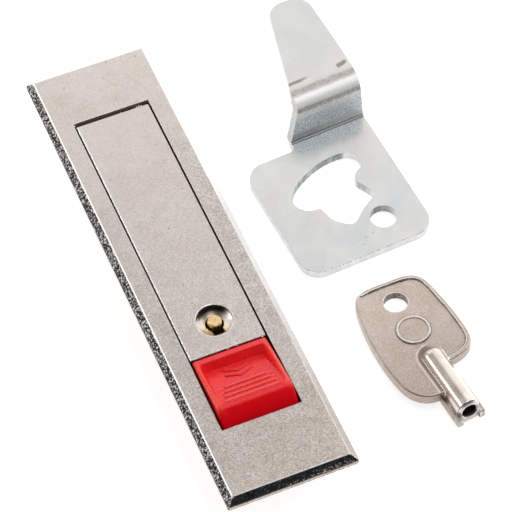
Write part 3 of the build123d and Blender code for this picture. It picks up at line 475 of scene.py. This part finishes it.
# ------------------------------------------------------------------ worn nickel on the cast key
def key_nickel():
    M = Mat("key_nickel")
    v = M.local((44.61, -29.70, -12.63), math.radians(4.85))
    x, y, z = M.xyz(v)
    nx, ny, nz = M.xyz(M.object_normal())
    rounded = M.round_edges(0.25)
    grain = M.noise(2.6, 4.0, 0.72, v)
    fine = M.noise(3.6, 2.0, 0.6, v)
    cloud = M.noise(0.2, 3.0, 0.6, v)
    col = M.mix(M.fit(cloud, 0.3, 0.7), (0.535, 0.432, 0.37), (0.61, 0.512, 0.45))
    col = M.vmath("SCALE", col, scale=M.fit(y, 8.0, -17.0, 0.97, 0.74, smooth=False))
    col = M.mix(M.mul(M.fit(grain, 0.48, 0.64), 0.38), col, (0.27, 0.21, 0.17))
    col = M.mix(M.mul(M.fit(fine, 0.54, 0.68), 0.42), col, (0.92, 0.85, 0.79))
    tube = M.mul(M.fit(y, -7.0, -8.5), M.fit(M.math("ABSOLUTE", x), 3.05, 2.85))
    tube = M.mul(M.mul(tube, M.fit(nz, -0.2, 0.1)), M.fit(y, -25.3, -25.0))
    body = M.mix(M.fit(cloud, 0.36, 0.66), (0.7, 0.6, 0.53), (0.79, 0.7, 0.63))
    # the barrel painted paler on its right side and towards its end: painted light
    body = M.mix(M.fit(x, 0.4, 2.2, 0.0, 0.6), body, (0.95, 0.9, 0.86))
    body = M.mix(M.fit(y, -20.0, -24.0, 0.0, 0.3), body, (0.93, 0.88, 0.83))
    body = M.mix(M.mul(M.fit(grain, 0.56, 0.68), 0.2), body, (0.4, 0.33, 0.28))
    col = M.mix(M.mul(tube, 0.95), col, body)
    # painted shade in the corners, by ambient occlusion: inside the rim, round the medallion, where the barrel leaves
    # the bow
    crevice_painted_shade = M.mul(M.crevice(0.8, 0.06, 0.32), M.fit(M.noise(1.4, 4.0, 0.7, v), 0.25, 0.6, 0.35, 1.0))
    crevice_painted_shade = M.mul(crevice_painted_shade, M.inv(M.mul(tube, 0.9)))
    col = M.mix(M.mul(crevice_painted_shade, 0.85), col, (0.05, 0.038, 0.03))
    rim_y = M.sub(14.45, M.mul(M.math("POWER", M.add(x, 2.0), 2.0), 0.013))
    line = M.band(M.add(M.sub(y, rim_y), M.mul(M.sub(M.noise(1.1, 3.0, 0.7, v), 0.5), 0.8)), -0.24, 0.12, 0.12)
    line = M.mul(M.mul(line, M.band(x, -3.8, 5.6, 0.7)), M.fit(M.noise(1.6, 4.0, 0.8, v), 0.4, 0.5, 0.25, 1.0))
    col = M.mix(M.mul(line, 0.95), col, (0.028, 0.018, 0.014))
    # the barrel's root is painted with a dark band and a pale one beyond it: painted shade and painted highlight
    root = M.vmath("DISTANCE", M.vec(x, y, 0.0), (0.0, -9.0, 0.0))
    along = M.mixf(M.fit(y, -8.9, -9.1), root, M.math("ABSOLUTE", x))
    root_painted_shade = M.mul(M.mul(M.band(along, 2.85, 3.3, 0.5), M.fit(x, 1.2, -0.6)), M.fit(nz, 0.8, 0.95))
    col = M.mix(M.mul(root_painted_shade, 0.7), col, (0.12, 0.09, 0.075))
    root_painted_highlight = M.mul(M.band(along, 3.75, 4.0, 0.2), M.mul(M.fit(x, 1.2, -0.6), M.fit(nz, 0.8, 0.95)))
    col = M.mix(M.mul(root_painted_highlight, 0.35), col, (0.92, 0.86, 0.8))
    # the wall of the ring hole painted dark with smears: painted shade; and the dark seams of the medallion's ring
    ring = M.vmath("DISTANCE", M.vec(x, y, 0.0), (0.1, 8.95, 0.0))
    wall = M.mul(M.fit(ring, 3.05, 2.9), M.fit(M.math("ABSOLUTE", nz), 0.7, 0.4))
    smear = M.fit(M.noise(1.2, 4.0, 0.7, v), 0.35, 0.62)
    col = M.mix(M.mul(wall, 0.92), col, M.mix(smear, (0.05, 0.035, 0.03), (0.34, 0.26, 0.22)))
    coin = M.vmath("DISTANCE", M.vec(x, y, 0.0), (-0.25, -0.15, 0.0))
    seam = M.mul(M.either(M.band(coin, 3.98, 4.1, 0.09), M.band(coin, 3.38, 3.48, 0.08)), M.fit(nz, 0.5, 0.9))
    col = M.mix(M.mul(seam, M.fit(smear, 0.2, 0.8, 0.35, 0.9)), col, (0.09, 0.07, 0.06))
    # edges and lugs rubbed bright, and the rim's crests painted bright as their highlight
    worn_and_highlit = M.math("MULTIPLY", M.edge(rounded), 6.0, clamp=True)
    crest = M.mul(M.crest(0.34, 0.08, 0.34, 12), M.inv(tube))
    worn_and_highlit = M.math("MAXIMUM", worn_and_highlit, M.mul(crest, M.fit(M.noise(0.9, 3.0, 0.7, v), 0.3, 0.5, 0.55, 1.0)))
    col = M.mix(M.mul(M.mul(worn_and_highlit, M.inv(M.mul(crevice_painted_shade, 0.5))), 0.85), col, (1.0, 0.96, 0.92))
    rail = M.mul(M.mul(M.fit(y, -18.6, -19.0), M.fit(M.math("ABSOLUTE", x), 2.85, 2.95)), M.fit(y, -25.4, -25.0))
    col = M.mix(M.mul(rail, 0.55), col, (0.36, 0.29, 0.25))
    tip = M.fit(y, -24.7, -25.1)
    col = M.mix(M.mul(tip, M.fit(M.noise(1.6, 4.0, 0.7, v), 0.38, 0.56, 0.2, 0.6)), col, (0.62, 0.54, 0.48))
    lug = M.mul(M.mul(M.fit(y, -25.9, -26.1), M.fit(M.math("ABSOLUTE", x), 2.1, 2.3)), M.fit(M.noise(1.9, 3.0, 0.75, v), 0.52, 0.58, 0.0, 0.85))
    col = M.mix(lug, col, (0.12, 0.09, 0.08))
    # painted shade on the inner walls between the lugs
    cleft_painted_shade = M.mul(M.fit(y, -25.6, -25.8), M.mul(M.fit(M.math("ABSOLUTE", nx), 0.6, 0.8), M.fit(M.math("ABSOLUTE", x), 2.4, 2.3)))
    col = M.mix(M.mul(cleft_painted_shade, 0.85), col, (0.08, 0.055, 0.045))
    col = M.mix(M.mul(M.fit(y, -25.2, -25.6), M.mul(M.fit(M.math("ABSOLUTE", x), 2.1, 2.3), 0.55)), col, (0.5, 0.42, 0.36))
    end_ring = M.mul(M.mul(M.fit(y, -24.9, -25.0), M.fit(M.math("ABSOLUTE", x), 2.8, 2.6)), M.fit(z, -0.6, 0.2))
    col = M.mix(M.mul(end_ring, 0.55), col, (0.8, 0.81, 0.84))
    edge_dark = M.mul(M.mul(M.band(y, -24.98, -24.9, 0.05), tube), M.fit(x, 1.5, -0.5))
    col = M.mix(M.mul(edge_dark, 0.85), col, (0.12, 0.09, 0.08))
    M.set("Base Color", col)
    M.set("Metallic", M.inv(M.mul(wall, 0.7)))
    rough = M.fit(grain, 0.3, 0.75, 0.27, 0.42)
    rough = M.mixf(tube, rough, M.fit(cloud, 0.3, 0.7, 0.17, 0.22))
    M.set("Roughness", rough)
    h = M.add(M.mul(grain, 0.7), M.mul(fine, 0.4))
    amp = M.mixf(tube, 0.62, 0.035)
    amp = M.mixf(tip, amp, 0.25)
    M.set("Normal", M.bump(M.mul(h, amp), 0.12, rounded))
    return M.m


# ------------------------------------------------------------------ red moulded plastic
def red_plastic():
    M = Mat("red_plastic")
    x, y, z = M.xyz(M.co)
    nx, ny, nz = M.xyz(M.object_normal())
    rounded = M.round_edges(0.3)
    fine = M.noise(1.6, 3.0, 0.6)
    cloud = M.noise(0.35, 3.0, 0.6)
    mottle = M.noise(1.2, 3.0, 0.6)
    col = M.mix(M.fit(cloud, 0.3, 0.7), (0.9, 0.004, 0.01), (0.96, 0.009, 0.014))
    # the edges are rubbed paler, the side rims are painted paler as light, and the fingertip has dulled the floor
    rubbed = M.mul(M.fit(M.edge(rounded), 0.02, 0.2), M.fit(y, -41.9, -40.8))
    rim_painted_light = M.mul(M.fit(M.math("ABSOLUTE", x), 7.4, 8.0), M.fit(y, -44.0, -42.0))
    col = M.mix(M.mul(M.either(rubbed, rim_painted_light), 0.55), col, (1.0, 0.07, 0.035))
    in_scoop = M.mul(M.mul(M.fit(M.math("ABSOLUTE", x), 7.6, 7.0), M.band(y, -41.6, -30.5, 0.4)), M.fit(nz, 0.85, 0.92))
    col = M.mix(M.mul(in_scoop, M.fit(mottle, 0.35, 0.65, 0.1, 0.45)), col, (0.8, 0.022, 0.026))
    # each rib has a painted highlight along its crown and painted shade at its foot
    run = M.math("FRACT", M.math("DIVIDE", M.sub(-36.35 + 0.76, y), 1.52))
    ribs = M.mul(M.band(y, -41.6, -35.9, 0.1), M.fit(M.math("ABSOLUTE", x), 6.9, 6.5))
    ribs = M.mul(ribs, M.fit(nz, 0.3, 0.6))
    crown_painted_highlight = M.band(run, 0.42, 0.54, 0.08)
    foot_painted_shade = M.band(run, 0.72, 0.82, 0.08)
    col = M.mix(M.mul(M.mul(ribs, crown_painted_highlight), 0.8), col, (1.0, 0.17, 0.14))
    col = M.mix(M.mul(M.mul(ribs, foot_painted_shade), 0.35), col, (0.6, 0.0, 0.01))
    # painted shade in the corners, by ambient occlusion
    crevice_painted_shade = M.crevice(0.6, 0.15, 0.6)
    col = M.mix(M.mul(crevice_painted_shade, 0.45), col, (0.35, 0.0, 0.01))
    # the low front face painted darker: painted shade
    low = M.mul(M.fit(y, -42.2, -44.0), M.fit(nz, 0.95, 0.6))
    col = M.mix(M.mul(low, 0.9), col, (0.82, 0.0006, 0.011))
    M.set("Base Color", col)
    M.set("Roughness", M.add(M.fit(fine, 0.3, 0.7, 0.24, 0.34), M.mul(low, 0.2)))
    ridge = M.mul(M.fit(y, -41.3, -43.2), M.inv(in_scoop))
    dull = M.either(M.mul(ridge, 0.96), M.mul(M.mul(ribs, M.band(y, -41.6, -36.0, 0.3)), 0.4))
    M.set("Specular IOR Level", M.mixf(dull, 0.5, 0.02))
    M.b.inputs["IOR"].default_value = 1.5
    M.b.inputs["Subsurface Weight"].default_value = 0.1
    M.b.inputs["Subsurface Radius"].default_value = (1.0, 0.1, 0.06)
    M.b.inputs["Subsurface Scale"].default_value = 0.0008
    M.set("Normal", M.bump(M.add(M.mul(fine, 0.3), M.mul(mottle, 0.6)), 0.04, rounded))
    return M.m


# ------------------------------------------------------------------ turned and drawn metals
def plain_metal(name, dark, light, rough, grain_mm=2.4, bump_mm=0.02, radius=0.12, turned=None):
    M = Mat(name)
    rounded = M.round_edges(radius)
    grain = M.noise(grain_mm, 4.0, 0.6)
    if turned:
        # fine rings left by the lathe, about this axis in millimetres
        cx, cy, axis = turned
        px, py, pz = M.xyz(M.co)
        a, b = (px, py) if axis == "z" else (py, pz)
        d = M.math("SQRT", M.add(M.math("POWER", M.sub(a, cx), 2.0), M.math("POWER", M.sub(b, cy), 2.0)))
        rings = M.noise(7.0, 2.0, 0.5, M.vec(d, 0.0, 0.0))
        h = M.add(M.mul(rings, 0.7), M.mul(grain, 0.3))
    else:
        h = grain
    M.set("Base Color", M.mix(M.fit(M.noise(0.9, 3.0), 0.3, 0.7), dark, light))
    M.set("Metallic", 1.0)
    M.set("Roughness", M.fit(grain, 0.3, 0.7, rough * 0.75, rough * 1.3))
    M.set("Normal", M.bump(h, bump_mm, rounded))
    return M.m


def core_nickel():
    M = Mat("core_nickel")
    x, y, z = M.xyz(M.vmath("SUBTRACT", M.co, (0.0, -18.2, 0.0)))
    r = M.vmath("LENGTH", M.vec(x, y, 0.0))
    rounded = M.round_edges(0.15)
    rings = M.noise(5.0, 2.0, 0.5, M.vec(r, 0.0, 0.0))
    grain = M.noise(1.8, 3.0, 0.6)
    col = M.mix(M.fit(grain, 0.35, 0.65), (0.84, 0.75, 0.66), (0.95, 0.88, 0.79))
    # painted shade: brown towards the far rim, black under the far lip
    upper = M.fit(M.math("DIVIDE", y, r), 0.1, 0.8)
    col = M.mix(M.mul(M.mul(upper, M.fit(r, 1.0, 3.0)), 0.9), col, (0.16, 0.11, 0.075))
    far_lip_painted_shade = M.mul(M.fit(M.math("DIVIDE", y, r), 0.15, 0.7), M.fit(r, 2.9, 3.6))
    col = M.mix(M.mul(far_lip_painted_shade, 0.97), col, (0.014, 0.012, 0.012))
    # the core below the dish and the notch's walls painted dark: painted shade
    deep = M.fit(z, 1.05, 0.85)
    notch = M.mul(M.mul(M.fit(M.math("ABSOLUTE", x), 1.5, 1.3), M.fit(y, -1.2, -1.7)), M.fit(z, 1.95, 1.5))
    hidden_painted_shade = M.either(deep, notch)
    col = M.mix(M.mul(hidden_painted_shade, 0.97), col, M.mix(M.fit(y, -1.5, -2.6), (0.1, 0.058, 0.03), (0.012, 0.009, 0.008)))
    M.set("Base Color", col)
    M.set("Metallic", M.inv(hidden_painted_shade))
    M.set("Roughness", M.mixf(hidden_painted_shade, M.fit(rings, 0.3, 0.7, 0.3, 0.36), 0.6))
    M.set("Normal", M.bump(M.add(M.mul(rings, 0.6), M.mul(grain, 0.4)), 0.012, rounded))
    return M.m


mats = {
    "housing": satin_nickel("satin_nickel_plate", True),
    "handle": satin_nickel("satin_nickel_handle", False),
    "hook_plate": zinc_plate(),
    "key": key_nickel(),
    "push_button": red_plastic(),
    "lock_core": core_nickel(),
    "lock_barrel": plain_metal("barrel_nickel", (0.6, 0.57, 0.53), (0.72, 0.69, 0.65), 0.24, turned=(0, -18.2, "z")),
    "centre_pin": plain_metal("pin_brass", (0.86, 0.6, 0.29), (0.93, 0.68, 0.37), 0.3, grain_mm=1.1, bump_mm=0.003, turned=(0, -18.2, "z"), radius=0.1),
    "core_clip": plain_metal("clip_spring_steel", (0.22, 0.22, 0.24), (0.36, 0.36, 0.38), 0.3),
    "lock_tongue": plain_metal("tongue_zinc", (0.56, 0.58, 0.6), (0.7, 0.71, 0.72), 0.32),
    "tongue_screw": plain_metal("screw_zinc_small", (0.52, 0.53, 0.56), (0.68, 0.69, 0.7), 0.28, turned=(0, -18.2, "z")),
    "hinge_pin": plain_metal("pin_steel", (0.42, 0.42, 0.43), (0.58, 0.57, 0.56), 0.28, turned=(39.1, -1.5, "x")),
    "button_pin": plain_metal("button_pin_steel", (0.42, 0.42, 0.43), (0.58, 0.57, 0.56), 0.28, turned=(-36.5, -6.3, "x")),
    "lever_rivet": plain_metal("rivet_steel", (0.42, 0.42, 0.43), (0.55, 0.54, 0.53), 0.3),
    "handle_spring": plain_metal("spring_wire", (0.24, 0.24, 0.26), (0.38, 0.38, 0.4), 0.26),
    "button_spring": plain_metal("spring_wire_fine", (0.24, 0.24, 0.26), (0.38, 0.38, 0.4), 0.26),
    "drive_lever": plain_metal("lever_zinc", (0.54, 0.56, 0.58), (0.7, 0.71, 0.72), 0.34, bump_mm=0.05),
    "pivot_washer": plain_metal("washer_zinc", (0.54, 0.55, 0.58), (0.7, 0.71, 0.72), 0.3, turned=(7.4, 29.8, "z")),
    "spring_washer": plain_metal("spring_washer_zinc", (0.44, 0.45, 0.47), (0.6, 0.61, 0.62), 0.3, turned=(7.4, 29.8, "z")),
    "pivot_screw": plain_metal("screw_zinc", (0.54, 0.55, 0.58), (0.7, 0.71, 0.72), 0.27, turned=(7.4, 29.8, "z")),
}
# ------------------------------------------------------------------ bright nibs of plating on the edges of the gap
def nibs(name, body, places):
    """Small knobbly grains: (x, y, z, radius, stretch along x), in millimetres."""
    bm = bmesh.new()
    for i, (px, py, pz, r, long) in enumerate(places):
        made = bmesh.ops.create_icosphere(bm, subdivisions=2, radius=1.0)["verts"]
        for j, vert in enumerate(made):
            c = vert.co
            k = 1.0 + 0.16 * math.sin(5.0 * c.x + 3.1 * c.y + 1.7 * i) + 0.1 * math.cos(7.0 * c.z - 4.0 * c.x + i)
            vert.co = Vector((px + c.x * r * k * long, py + c.y * r * k * 0.8, pz + c.z * r * k * 0.6)) * MM
    mesh = bpy.data.meshes.new(name)
    bm.to_mesh(mesh)
    bm.free()
    for poly in mesh.polygons:
        poly.use_smooth = True
    o = bpy.data.objects.new(name, mesh)
    scene.collection.objects.link(o)
    mesh.materials.append(nib_metal)
    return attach(o, body)


nib_metal = plain_metal("plating_nib", (0.9, 0.86, 0.82), (0.97, 0.95, 0.93), 0.16, bump_mm=0.01, radius=0.03)
nibs("plating_nibs_handle", "lift_handle", [
    (6.2, 46.5, 2.42, 0.2, 1.2), (6.8, 46.54, 2.45, 0.24, 1.0), (7.35, 46.5, 2.42, 0.16, 1.1), (2.1, 46.46, 2.4, 0.12, 1.0),
    (-0.2, -26.56, 2.42, 0.16, 1.3), (2.1, -26.58, 2.43, 0.18, 1.0), (8.3, -26.56, 2.42, 0.16, 2.4)])
nibs("plating_nibs_plate", "lock", [
    (-9.38, 46.9, 2.3, 0.2, 0.8), (-9.1, 47.36, 2.34, 0.14, 1.2), (9.45, 30.5, 2.3, 0.15, 0.7), (9.46, 22.1, 2.32, 0.13, 0.7),
    (9.47, 12.8, 2.28, 0.12, 0.7), (9.45, -3.2, 2.3, 0.14, 0.7)])

for node, mat in mats.items():
    mesh = N[node].data
    mesh.materials.clear()
    mesh.materials.append(mat)

# ------------------------------------------------------------------ floor, light
def floor_material():
    M = Mat("floor_paper")
    M.set("Base Color", M.mix(M.noise(0.02, 2.0), (0.55, 0.55, 0.55), (0.59, 0.59, 0.59)))
    M.set("Roughness", 0.9)
    M.b.inputs["Emission Color"].default_value = (1.0, 1.0, 1.0, 1.0)
    M.b.inputs["Emission Strength"].default_value = 0.76
    return M.m


bm = bmesh.new()
bmesh.ops.create_grid(bm, x_segments=2, y_segments=2, size=1.6)
fm = bpy.data.meshes.new("floor")
bm.to_mesh(fm)
bm.free()
floor = bpy.data.objects.new("floor", fm)
floor.location = (0.02, 0.0, -0.01502)
scene.collection.objects.link(floor)
fm.materials.append(floor_material())

world = bpy.data.worlds.new("studio")
world.use_nodes = True
wt = world.node_tree
sky = wt.nodes["Background"]
sky.inputs[0].default_value = (1.0, 1.0, 1.0, 1.0)
wc = wt.nodes.new("ShaderNodeTexCoord")
wx = wt.nodes.new("ShaderNodeSeparateXYZ")
wt.links.new(wc.outputs["Generated"], wx.inputs[0])


def world_fit(socket, a, b, c, d):
    n = wt.nodes.new("ShaderNodeMapRange")
    n.interpolation_type = "SMOOTHSTEP"
    wt.links.new(socket, n.inputs["Value"])
    for k, val in (("From Min", a), ("From Max", b), ("To Min", c), ("To Max", d)):
        n.inputs[k].default_value = val
    return n.outputs["Result"]


# a plain tent: pale at the back and sides, dimmer towards the front and overhead
wm = wt.nodes.new("ShaderNodeMath")
wm.operation = "MULTIPLY"
wt.links.new(world_fit(wx.outputs[1], -0.4, 0.4, 0.2, 0.56), wm.inputs[0])
wt.links.new(world_fit(wx.outputs[2], 0.74, 0.93, 1.0, 0.42), wm.inputs[1])
wt.links.new(wm.outputs[0], sky.inputs[1])
scene.world = world


def softbox(name, direction, distance, width, height, radiance, at=(0.02, 0.0, 0.0)):
    d = Vector(direction).normalized()
    light = bpy.data.lights.new(name, "AREA")
    light.shape = "RECTANGLE"
    light.size, light.size_y = width, height
    light.energy = radiance * math.pi * width * height
    o = bpy.data.objects.new(name, light)
    scene.collection.objects.link(o)
    o.location = Vector(at) + d * distance
    o.rotation_euler = d.to_track_quat("Z", "Y").to_euler()
    return o


softbox("softbox_back", (0.2, 0.80, 0.58), 1.3, 1.9, 0.95, 0.72)
softbox("softbox_left", (-0.75, 0.5, 0.42), 1.2, 0.4, 0.35, 3.2)
softbox("wall_left", (-0.96, 0.3, 0.03), 1.4, 1.6, 0.3, 1.8)
softbox("softbox_top", (0.18, -0.03, 0.98), 1.3, 0.9, 0.5, 3.4)
softbox("softbox_right", (0.85, 0.0, 0.55), 1.2, 0.5, 0.5, 4.0)
softbox("wall_right", (0.85, 0.5, 0.14), 1.4, 1.6, 0.5, 0.85)
